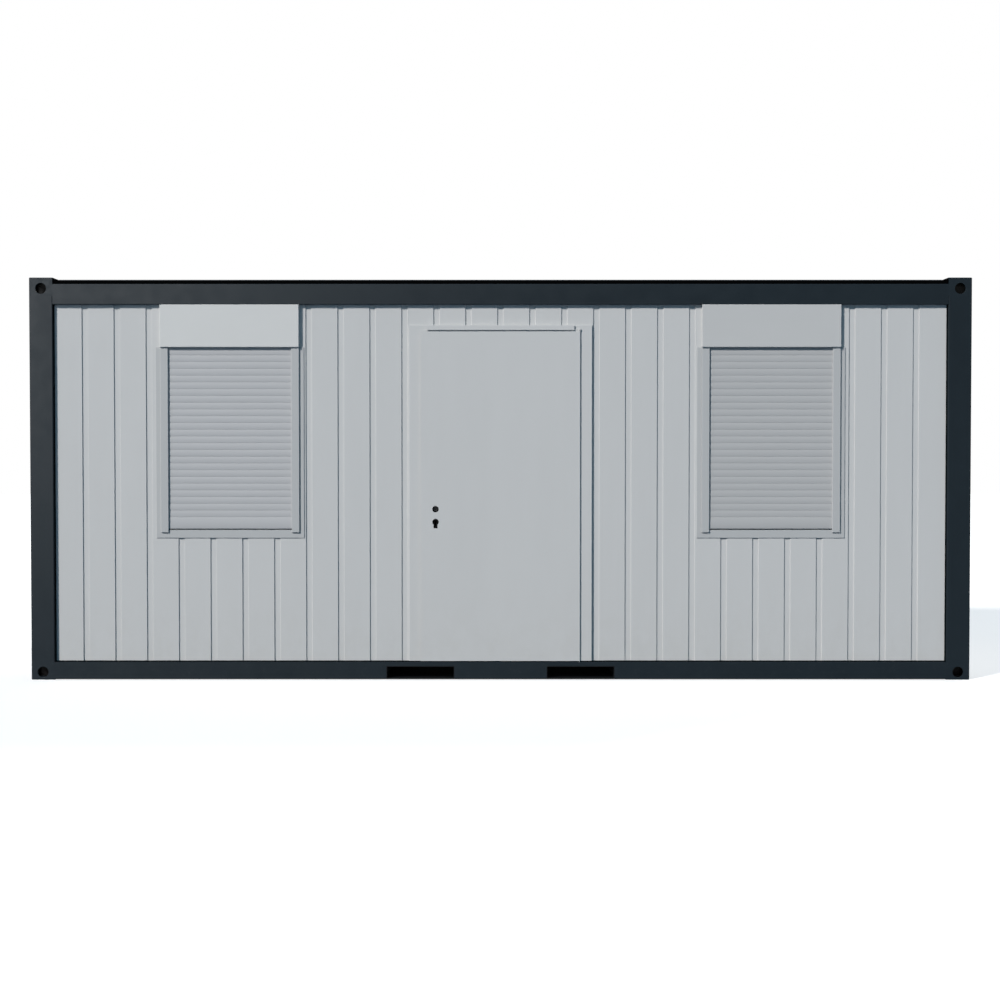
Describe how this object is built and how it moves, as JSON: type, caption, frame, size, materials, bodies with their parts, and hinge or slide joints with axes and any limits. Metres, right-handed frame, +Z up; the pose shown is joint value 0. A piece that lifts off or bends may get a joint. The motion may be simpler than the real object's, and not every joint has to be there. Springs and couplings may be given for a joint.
{
  "type": "portable site cabin",
  "caption": "Flat-roofed portable site cabin on a steel frame, with profiled panel walls, a hinged door between shuttered windows, fork pockets and corner lifting fittings.",
  "frame": {"origin": "middle of the footprint, on the ground under the corner fittings", "axes": "+X along the long side to the right as seen from the front, the door side faces -Y, +Z up"},
  "size_m": [6.058, 2.438, 2.591],
  "materials": {
    "floor_covering": "speckled sheet vinyl",
    "frame_paint": "semi-gloss anthracite",
    "galvanised_sheet": "spangled zinc",
    "glass": "clear",
    "kerb_strip": "matte black",
    "lining_board": "white faced board",
    "lock_steel": "zinc plated",
    "primer": "matte grey primer",
    "seal_rubber": "matte black",
    "slat_paint": "satin light grey",
    "wall_paint": "satin light grey",
    "window_plastic": "satin white"
  },
  "bodies": {
    "cabin": {"back_lining": "lining_board", "back_wall": "wall_paint", "ceiling_panel": "lining_board", "corner_fittings_lower": "frame_paint", "corner_fittings_upper": "frame_paint", "corner_post_back_left": "frame_paint", "corner_post_back_right": "frame_paint", "corner_post_front_left": "frame_paint", "corner_post_front_right": "frame_paint", "door_drip_strip": "wall_paint", "door_frame": "wall_paint", "door_pivots": "lock_steel", "door_seal": "seal_rubber", "end_linings": "lining_board", "end_wall_left": "wall_paint", "end_wall_right": "wall_paint", "floor_board": "floor_covering", "floor_cross_members": "primer", "floor_rail_back": "frame_paint", "floor_rail_front": "frame_paint", "floor_rail_left": "frame_paint", "floor_rail_right": "frame_paint", "fork_tunnels": "frame_paint", "front_lining": "lining_board", "front_wall_left": "wall_paint", "front_wall_over_door": "wall_paint", "front_wall_right": "wall_paint", "roof_cross_members": "primer", "roof_kerb": "kerb_strip", "roof_rail_back": "frame_paint", "roof_rail_front": "frame_paint", "roof_rail_left": "frame_paint", "roof_rail_right": "frame_paint", "roof_sheet": "galvanised_sheet", "underside_sheets": "galvanised_sheet", "window_left_frame": "window_plastic", "window_left_glass": "glass", "window_left_sash": "window_plastic", "window_left_shutter_box": "wall_paint", "window_left_shutter_curtain": "slat_paint", "window_left_shutter_guides": "wall_paint", "window_left_surround": "wall_paint", "window_right_frame": "window_plastic", "window_right_glass": "glass", "window_right_sash": "window_plastic", "window_right_shutter_box": "wall_paint", "window_right_shutter_curtain": "slat_paint", "window_right_shutter_guides": "wall_paint", "window_right_surround": "wall_paint"},
    "door": {"door_leaf": "wall_paint", "door_lock": "lock_steel"}
  },
  "joints": [
    {"name": "door_hinge", "type": "hinge", "parent": "cabin", "child": "door", "pos_m": [0.5105, -1.2085, 1.1835], "axis": [0, 0, 1], "range_deg": [0, 160]}
  ]
}
